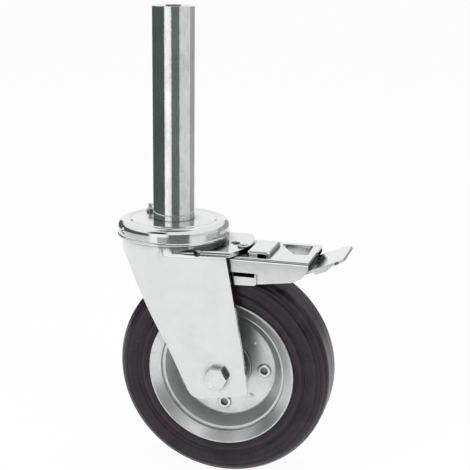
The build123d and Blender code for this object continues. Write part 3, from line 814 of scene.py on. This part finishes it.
@dataclass
class Stem(SubAssembly):
    """Tube stem with its plug, drawn zinc coat and the seam inside the tube."""

    radius: float = 19.0 * MM
    wall: float = 3.0 * MM
    chamfer: float = 1.0 * MM
    foot_round: float = 0.2 * MM
    edge_round: float = 0.3 * MM
    rim_round: float = 0.25 * MM
    spigot: float = 18.4 * MM
    seam: float = 1.1 * MM
    seam_flatness: float = 0.45
    seam_turn: float = 200.0
    seam_ends: tuple[float, float] = (10 * MM, 2 * MM)
    body = Body.STEM

    def build(self) -> None:
        """Makes the tube, the seam bead inside it and the plug."""
        low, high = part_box("stem_tube")
        self.tube(low.z, high.z)
        self.inside_seam(low.z, high.z)
        self.skins(["stem_plug"], TUBE, 0.2 * MM)

    def tube(self, low: float, high: float) -> None:
        """Spins the tube with rounded chamfers at its open end.

        Args:
            low: height of its foot.
            high: height of its open end.
        """
        inner = self.radius - self.wall
        cut = self.chamfer
        corners = [(inner, low, 0), (self.spigot, low, 0), (self.spigot, 0, 0),
                   (self.radius, 0, self.foot_round), (self.radius, cut, 0), (self.radius, high - 2 * cut, 0),
                   (self.radius, high - cut, self.edge_round), (self.radius - cut, high, self.rim_round),
                   (inner + cut, high, self.rim_round), (inner, high - cut, self.edge_round)]
        piece("stem_tube_skin", lathe(rounded(corners), 128), self.body, TUBE, ["stem_tube"])

    def inside_seam(self, low: float, high: float) -> None:
        """Adds the low weld bead that runs down the inside of a seamed tube.

        Args:
            low: height of the tube's foot.
            high: height of its open end.
        """
        inner = self.radius - self.wall
        above, below = self.seam_ends
        mesh = bmesh.new()
        made = bmesh.ops.create_circle(mesh, cap_ends=True, segments=10, radius=self.seam)
        bmesh.ops.scale(mesh, vec=(1.0, self.seam_flatness, 1.0), verts=made["verts"])
        turn = Matrix.Rotation(math.radians(self.seam_turn), 4, "Z")
        place = turn @ Matrix.Translation((0, inner, low + above))
        bmesh.ops.transform(mesh, matrix=place, verts=mesh.verts)
        grown = bmesh.ops.extrude_face_region(mesh, geom=list(mesh.faces))
        verts = [item for item in grown["geom"] if isinstance(item, bmesh.types.BMVert)]
        bmesh.ops.translate(mesh, vec=(0, 0, high - low - above - below), verts=verts)
        bmesh.ops.recalc_face_normals(mesh, faces=mesh.faces)
        piece("stem_inside_seam", mesh, self.body, TUBE)


@dataclass
class SwivelHead(SubAssembly):
    """Cap, grease nipple, king pin, lower cup and lock ring on the stem."""

    radius: float = 51.0 * MM
    sheet: float = 4.0 * MM
    depth: float = 15.0 * MM
    shoulder: float = 6.0 * MM
    ring: float = 40.5 * MM
    ring_width: float = 1.3 * MM
    ring_depth: float = 0.8 * MM
    bead: float = 0.55 * MM
    bead_rise: tuple[float, float] = (1.9 * MM, 2.6 * MM)
    race: float = 37.0 * MM
    race_width: float = 3.2 * MM
    race_top: float = 2.2 * MM
    wall_steps: int = 12
    wall_step: float = 0.45 * MM
    hole: float = 18.4 * MM
    relief: float = 0.9 * MM
    crimp: float = 2.9 * MM
    crimp_depth: float = 2.0 * MM
    crimp_drop: float = 0.45
    crimp_count: int = 3
    crimp_angle: float = 225.0
    thread_radius: float = 8.12 * MM
    thread_pitch: float = 1.2 * MM
    thread_run_out: float = 0.2 * MM
    body = Body.STEM

    def build(self) -> None:
        """Makes the cap and the pieces under it."""
        self.cap()
        self.skins(["grease_nipple", "king_pin", "king_pin_nut"], FASTENER, 0.25 * MM)
        self.skins(["lower_cup", "lock_ring", "stem_weld"], PLAIN, 0.25 * MM)
        self.pin_thread()

    def cap(self) -> None:
        """Spins the cap with its stamped ring, rolled bead and race groove, then dimples its wall."""
        inner = self.radius - self.sheet
        ring, half, deep = self.ring, self.ring_width, self.ring_depth
        foot, top = self.bead_rise
        wall = [(self.radius, -self.shoulder - step * self.wall_step, 0.0)
                for step in range(1, self.wall_steps + 1)]
        outside = [(self.hole, -self.relief, 0), (self.hole + self.relief, 0, 0.1 * MM),
                   (ring - half * 1.4, 0, 0.6 * MM), (ring - half * 0.4, -deep, 0.5 * MM),
                   (ring + half * 0.4, -deep, 0.5 * MM), (ring + half * 1.4, 0, 0.6 * MM),
                   (self.radius, 0, self.shoulder), *wall, (self.radius, -self.depth + top, 0.8 * MM),
                   (self.radius + self.bead, -self.depth + foot, 0.5 * MM),
                   (self.radius + self.bead, -self.depth, 0.6 * MM)]
        inside = [(inner, -self.depth, 0.4 * MM), (inner, -self.sheet, 2.0 * MM),
                  (self.race + self.race_width, -self.sheet, 0.2 * MM), (self.race, -self.race_top, 2.6 * MM),
                  (self.race - self.race_width, -self.sheet, 0.2 * MM), (self.hole, -self.sheet, 0)]
        mesh = lathe(rounded(outside + inside, 7), 480)
        for number in range(self.crimp_count):
            angle = math.radians(self.crimp_angle + 360.0 * number / self.crimp_count)
            outward = Vector((math.cos(angle), math.sin(angle), 0.0))
            centre = outward * self.radius + Vector((0, 0, -self.depth * self.crimp_drop))
            dented(mesh, centre, self.crimp, outward * -self.crimp_depth)
        piece("top_cap_skin", mesh, self.body, PRESSING, ["top_cap"], sharp=50.0)

    def pin_thread(self) -> None:
        """Adds the thread at the king pin's end, below its nut."""
        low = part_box("king_pin")[0].z
        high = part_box("king_pin_nut")[0].z
        mesh = thread(self.thread_radius, self.thread_pitch, low + self.thread_run_out, high)
        piece("king_pin_thread", mesh, self.body, FASTENER)


@dataclass
class ForkAssembly(SubAssembly):
    """Pressed fork with its pins, its axle and the ball races."""

    thread_radius: float = 6.15 * MM
    thread_pitch: float = 1.5 * MM
    thread_run_out: float = 0.3 * MM
    body = Body.FORK

    def build(self) -> None:
        """Makes the fork, the axle and the bearing pieces."""
        self.skins(["fork"], PRESSING, 0.5 * MM, flush=joint_place("brake_pedal"))
        self.skins(["spring_stud"], FASTENER, 0.4 * MM)
        self.skins(["pivot_pin"], PRESSING, 0.0)
        self.skins(["axle_bolt", "axle_nut", "axle_washer"], FASTENER, 0.3 * MM, 28.0)
        self.skins(["bearing_sleeve"], PLAIN, 0.3 * MM)
        self.skins(["upper_cage", "lower_cage"], PLAIN, 0.0)
        self.skins(["upper_balls", "lower_balls"], BEARING, 0.0)
        self.skins(["spring_hook"], SPRING, 0.0)
        self.axle_thread()

    def axle_thread(self) -> None:
        """Adds the thread at the axle bolt's free end."""
        centre = joint_place("wheel_roll")
        nut_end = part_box("axle_nut")[1].y
        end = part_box("axle_bolt")[1].y
        place = Matrix.Translation(centre) @ Matrix.Rotation(math.radians(-90), 4, "X")
        mesh = thread(self.thread_radius, self.thread_pitch, nut_end, end - self.thread_run_out)
        piece("axle_thread", placed(mesh, place), self.body, FASTENER)


@dataclass
class Wheel(SubAssembly):
    """Rubber tyre on two steel pressings with a roller bearing hub."""

    tread_flat: float = 31.0 * MM
    tread_round: float = 9.0 * MM
    shoulder_drop: float = 7.0 * MM
    shoulder_round: float = 7.0 * MM
    bead: tuple[Corner, ...] = ((80.4 * MM, 0.0, 2.2 * MM), (78.2 * MM, 2.2 * MM, 1.0 * MM),
                                (76.2 * MM, 1.6 * MM, 0.8 * MM))
    seat: tuple[Corner, ...] = ((70.3 * MM, 23.13 * MM, 0.8 * MM), (68.7 * MM, 22.63 * MM, 0.2 * MM),
                                (61.5 * MM, 17.5 * MM, 3.0 * MM))
    flash: float = 0.25 * MM
    flash_foot: float = 0.9 * MM
    rib_start: float = 6.9 * MM
    rib_size: tuple[float, float] = (0.9 * MM, 0.45 * MM)
    rib_crest: float = 0.3
    rivet_count: int = 4
    rivet_turn: float = -2.0
    rivet_circle: float = 36.75 * MM
    rivet_bore: float = 3.4 * MM
    web: tuple[float, float] = (0.6 * MM, 1.0 * MM)
    body = Body.WHEEL

    def build(self) -> None:
        """Makes the tyre, the rims and the hub."""
        self.tyre()
        self.skins(["rim_near", "rim_far"], RIM, 0.25 * MM)
        self.skins(["rim_rivets"], FASTENER, 0.2 * MM)
        self.rivet_webs()
        self.skins(["hub_tube", "hub_collars"], PLAIN, 0.25 * MM)
        self.skins(["dust_caps"], PRESSING, 0.15 * MM)
        self.skins(["rollers"], BEARING, 0.2 * MM)
        self.skins(["roller_cage"], PLAIN, 0.0)

    def tyre(self) -> None:
        """Spins the tyre: tread with a mould line, round shoulders, side ribs and the bead."""
        low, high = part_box("tyre")
        radius = (high.x - low.x) / 2
        half = (high.y - low.y) / 2
        side = [(radius, self.tread_flat / 2, self.tread_round), *self.shoulder_rib(radius, half),
                (radius - self.shoulder_drop, half, self.shoulder_round),
                *((reach, half - inward, curve) for reach, inward, curve in self.bead), *self.seat]
        other = [(reach, -height, curve) for reach, height, curve in reversed(side)]
        mould = [(radius, -self.flash_foot, 0.0), (radius + self.flash, 0.0, 0.15 * MM),
                 (radius, self.flash_foot, 0.0)]
        mesh = lathe(rounded(mould + side + other, 9), 256)
        centre = joint_place("wheel_roll")
        place = Matrix.Translation(centre) @ Matrix.Rotation(math.radians(90), 4, "X")
        piece("tyre_skin", placed(mesh, place), self.body, RUBBER, ["tyre"], sharp=60.0)

    def shoulder_rib(self, radius: float, half: float) -> list[Corner]:
        """Places the low moulded rib on the tyre's sloping shoulder.

        Args:
            radius: the tread's radius.
            half: half of the tyre's width.

        Returns:
            The rib's corners, from the tread to the side.
        """
        start = Vector((radius, self.tread_flat / 2))
        along = (Vector((radius - self.shoulder_drop, half)) - start).normalized()
        out = Vector((along.y, -along.x))
        middle = start + along * self.rib_start
        foot, top = self.rib_size
        crest = foot * self.rib_crest
        points = (middle - along * foot, middle - along * crest + out * top,
                  middle + along * crest + out * top, middle + along * foot)
        return [(point.x, point.y, 0.0) for point in points]

    def rivet_webs(self) -> None:
        """Closes each tubular rivet by the web at its middle."""
        centre = joint_place("wheel_roll")
        thin, thick = self.web
        corners = [(0, -thin, 0), (self.rivet_bore, -thick, 0), (self.rivet_bore, thick, 0), (0, thin, 0)]
        for number in range(self.rivet_count):
            angle = math.radians(self.rivet_turn + 360.0 * number / self.rivet_count)
            place = centre + Vector((math.cos(angle), 0, math.sin(angle))) * self.rivet_circle
            turn = Matrix.Translation(place) @ Matrix.Rotation(math.radians(90), 4, "X")
            piece(f"rivet_web_{number + 1}", placed(lathe(rounded(corners), 32), turn), self.body, PLAIN)


@dataclass
class Brake(SubAssembly):
    """Brake pedal with its pad, shoe, lock leaf, spring and hinge pin."""

    body = Body.PEDAL

    def build(self) -> None:
        """Makes the pedal's pieces."""
        self.skins(["brake_pedal"], PRESSING, 0.35 * MM, flush=joint_place("release_lever"))
        self.skins(["step_pad"], PRESSING, 0.35 * MM)
        self.skins(["brake_shoe"], PRESSING, 0.3 * MM)
        self.skins(["leaf_rivets"], FASTENER, 0.3 * MM)
        self.skins(["lever_pin"], PRESSING, 0.0)
        self.skins(["lock_leaf"], SPRING, 0.2 * MM)
        self.skins(["pedal_spring"], SPRING, 0.0)


@dataclass
class ReleaseLever(SubAssembly):
    """Small lever at the pedal's end that frees the brake."""

    body = Body.LEVER

    def build(self) -> None:
        """Makes the lever."""
        self.skins(["release_lever"], PRESSING, 0.35 * MM)


@dataclass(frozen=True)
class StudioCard:
    """Upright curved card that only reflections see, such as a softbox or a flag.

    The angles are in degrees round the stem, with 0 towards -Y and positive towards +X.
    """

    name: str
    start: float
    end: float
    low: float
    high: float
    colour: Colour
    radius: float = 0.8

    def build(self) -> None:
        """Makes the card as an arc extruded upwards."""
        mesh = bmesh.new()
        first = math.radians(self.start - 90.0)
        vert = mesh.verts.new((self.radius * math.cos(first), self.radius * math.sin(first), self.low))
        turn = math.radians(self.end - self.start)
        steps = max(2, int(abs(self.end - self.start) / 4))
        bmesh.ops.spin(mesh, geom=[vert], cent=(0, 0, 0), axis=(0, 0, 1), angle=turn, steps=steps,
                       use_duplicate=False)
        grown = bmesh.ops.extrude_edge_only(mesh, edges=list(mesh.edges))
        verts = [item for item in grown["geom"] if isinstance(item, bmesh.types.BMVert)]
        bmesh.ops.translate(mesh, vec=(0, 0, self.high - self.low), verts=verts)
        reflected(self.name, mesh, self.colour)


def staged(name: str, mesh: bmesh.types.BMesh) -> tuple[bpy.types.Object, NodeGraph]:
    """Makes a mesh a staging object with a material of its own.

    Args:
        name: the object's name.
        mesh: its mesh, freed here.

    Returns:
        The object and its material's graph.
    """
    data = bpy.data.meshes.new(name)
    mesh.to_mesh(data)
    mesh.free()
    made = bpy.data.objects.new(name, data)
    bpy.context.scene.collection.objects.link(made)
    material = bpy.data.materials.new(name)
    material.use_nodes = True
    data.materials.append(material)
    return made, NodeGraph(material.node_tree)


def reflected(name: str, mesh: bmesh.types.BMesh, colour: Colour) -> None:
    """Makes a mesh a staging object of one plain colour that only reflections see.

    Args:
        name: the object's name.
        mesh: its mesh, freed here.
        colour: its glow, with 1 as white.
    """
    card, graph = staged(name, mesh)
    graph.tree.nodes.remove(graph.tree.nodes["Principled BSDF"])
    glow = graph.add("ShaderNodeEmission")
    glow.inputs["Color"].default_value = (*colour, 1.0)
    graph.link(glow.outputs[0], graph.tree.nodes["Material Output"].inputs["Surface"])
    card.visible_camera = False
    card.visible_diffuse = False
    card.visible_shadow = False
    card.visible_transmission = False


def by_ray(graph: NodeGraph, plain: object, seen: object, rays: Sequence[str], share: float,
           output: bpy.types.NodeSocket) -> None:
    """Gives some kinds of ray another shader.

    Args:
        graph: the material's or the world's graph.
        plain: the shader that lights the castor.
        seen: the shader that the named rays get.
        rays: the names of those kinds of ray.
        share: how much of it they get.
        output: the socket that takes the mix.
    """
    path = graph.add("ShaderNodeLightPath")
    chosen = path.outputs[rays[0]]
    for ray in rays[1:]:
        chosen = graph.math("MAXIMUM", chosen, path.outputs[ray])
    blend = graph.add("ShaderNodeMixShader")
    graph.link(graph.math("MULTIPLY", chosen, share), blend.inputs[0])
    graph.link(plain, blend.inputs[1])
    graph.link(seen, blend.inputs[2])
    graph.link(blend.outputs[0], output)


@dataclass(frozen=True)
class SoftBox:
    """Square soft lamp that lights the castor without showing in its reflections."""

    name: str
    place: Place
    size: float
    power: float

    def build(self, aim: Vector) -> None:
        """Hangs the lamp.

        Args:
            aim: the point that it faces.
        """
        lamp = bpy.data.lights.new(self.name, "AREA")
        lamp.shape = "SQUARE"
        lamp.size = self.size
        lamp.energy = self.power
        holder = bpy.data.objects.new(self.name, lamp)
        bpy.context.scene.collection.objects.link(holder)
        holder.location = self.place
        holder.visible_glossy = False
        holder.rotation_mode = "QUATERNION"
        holder.rotation_quaternion = (aim - Vector(self.place)).to_track_quat("-Z", "Y")


@dataclass
class Studio:
    """Pale floor, soft lamps, reflection cards and the camera."""

    floor_colour: Colour = (0.90, 0.90, 0.90)
    floor_glow: float = 0.93
    floor_size: float = 30.0
    world_level: float = 0.62
    aim: Place = (0.05, 0.0, -0.05)
    lamps: tuple[SoftBox, ...] = (
        SoftBox("key", (-0.7, -1.5, 1.2), 0.8, 14.0),
        SoftBox("fill", (1.6, -0.9, 0.7), 1.0, 8.0),
        SoftBox("top", (0.1, 0.5, 1.9), 1.3, 12.0),
    )
    cards: tuple[StudioCard, ...] = (
        StudioCard("left_flag", -140.0, -31.0, -0.188, 0.27, (0.090, 0.104, 0.099)),
        StudioCard("white_strip", -25.0, 1.0, -0.192, 0.27, (1.15, 1.15, 1.15)),
        StudioCard("front_flag", 7.0, 50.0, -0.186, 0.27, (0.155, 0.175, 0.167)),
        StudioCard("low_flag", -14.0, 50.0, -0.237, -0.186, (0.030, 0.036, 0.034)),
        StudioCard("high_flag", -40.0, 2.0, 0.38, 1.30, (0.060, 0.070, 0.066)),
        StudioCard("right_flag", 50.0, 118.0, -0.192, 0.27, (0.72, 0.73, 0.73)),
        StudioCard("back_flag", 118.0, 178.0, -0.192, 0.27, (0.40, 0.40, 0.40)),
    )
    ceiling_place: Place = (0.0, 0.0, 1.25)
    ceiling_radius: float = 0.42
    ceiling_colour: Colour = (0.130, 0.150, 0.143)
    place: Place = (0.2931, -0.8602, 0.2119)
    azimuth: float = 15.25
    pitch: float = -14.11
    roll: float = 0.74
    focal_pixels: float = 1010.6
    frame_pixels: float = 470.0
    sensor: float = 36.0

    def build(self) -> None:
        """Makes the whole studio."""
        self.floor()
        self.world()
        for lamp in self.lamps:
            lamp.build(Vector(self.aim))
        for card in self.cards:
            card.build()
        self.ceiling()
        self.camera()
        bpy.context.scene.view_settings.view_transform = "Standard"

    def ceiling(self) -> None:
        """Hangs a dark disc over the castor that only reflections see."""
        mesh = bmesh.new()
        bmesh.ops.create_circle(mesh, cap_ends=True, segments=64, radius=self.ceiling_radius)
        bmesh.ops.translate(mesh, vec=self.ceiling_place, verts=mesh.verts)
        reflected("ceiling_flag", mesh, self.ceiling_colour)

    def floor(self) -> None:
        """Makes the floor, which the camera sees paler than it lights the castor."""
        mesh = bmesh.new()
        bmesh.ops.create_grid(mesh, x_segments=1, y_segments=1, size=self.floor_size)
        bmesh.ops.translate(mesh, vec=(0, 0, FLOOR_Z), verts=mesh.verts)
        graph = staged("floor", mesh)[1]
        shader = graph.tree.nodes["Principled BSDF"]
        shader.inputs["Base Color"].default_value = (*self.floor_colour, 1.0)
        shader.inputs["Roughness"].default_value = 0.9
        shader.inputs["Specular IOR Level"].default_value = 0.1
        glow = graph.add("ShaderNodeEmission")
        glow.inputs["Color"].default_value = WHITE
        by_ray(graph, shader.outputs[0], glow.outputs[0], ("Is Camera Ray", "Is Glossy Ray"), self.floor_glow,
               graph.tree.nodes["Material Output"].inputs["Surface"])

    def world(self) -> None:
        """Lights the castor softly and shows the camera and the metal a white background."""
        world = bpy.data.worlds.new("studio")
        world.use_nodes = True
        bpy.context.scene.world = world
        graph = NodeGraph(world.node_tree)
        light = graph.tree.nodes["Background"]
        light.inputs["Strength"].default_value = self.world_level
        light.inputs["Color"].default_value = WHITE
        white = graph.add("ShaderNodeBackground")
        white.inputs["Strength"].default_value = 1.0
        white.inputs["Color"].default_value = WHITE
        by_ray(graph, light.outputs[0], white.outputs[0],
               ("Is Camera Ray", "Is Glossy Ray", "Is Transmission Ray"), 1.0,
               graph.tree.nodes["World Output"].inputs["Surface"])

    def camera(self) -> None:
        """Stands the camera at the photograph's viewpoint."""
        azimuth, pitch, roll = (math.radians(angle) for angle in (self.azimuth, self.pitch, self.roll))
        flat = math.cos(pitch)
        ahead = Vector((-math.sin(azimuth) * flat, math.cos(azimuth) * flat, math.sin(pitch)))
        level = Vector((math.cos(azimuth), math.sin(azimuth), 0.0))
        upright = level.cross(ahead)
        right = level * math.cos(roll) + upright * math.sin(roll)
        up = upright * math.cos(roll) - level * math.sin(roll)
        lens = bpy.data.cameras.new("camera")
        lens.sensor_width = self.sensor
        lens.lens = self.sensor * self.focal_pixels / self.frame_pixels
        lens.clip_start = 0.05
        camera = bpy.data.objects.new("camera", lens)
        bpy.context.scene.collection.objects.link(camera)
        turn = Matrix((right, up, -ahead)).transposed()
        camera.matrix_world = Matrix.Translation(self.place) @ turn.to_4x4()
        bpy.context.scene.camera = camera


def main() -> None:
    """Builds the castor, the studio and the camera."""
    logging.basicConfig(level=logging.INFO, format="%(name)s: %(message)s")
    for assembly in (Stem(), SwivelHead(), ForkAssembly(), Wheel(), Brake(), ReleaseLever()):
        assembly.build()
    Studio().build()


if __name__ == "__main__":
    main()
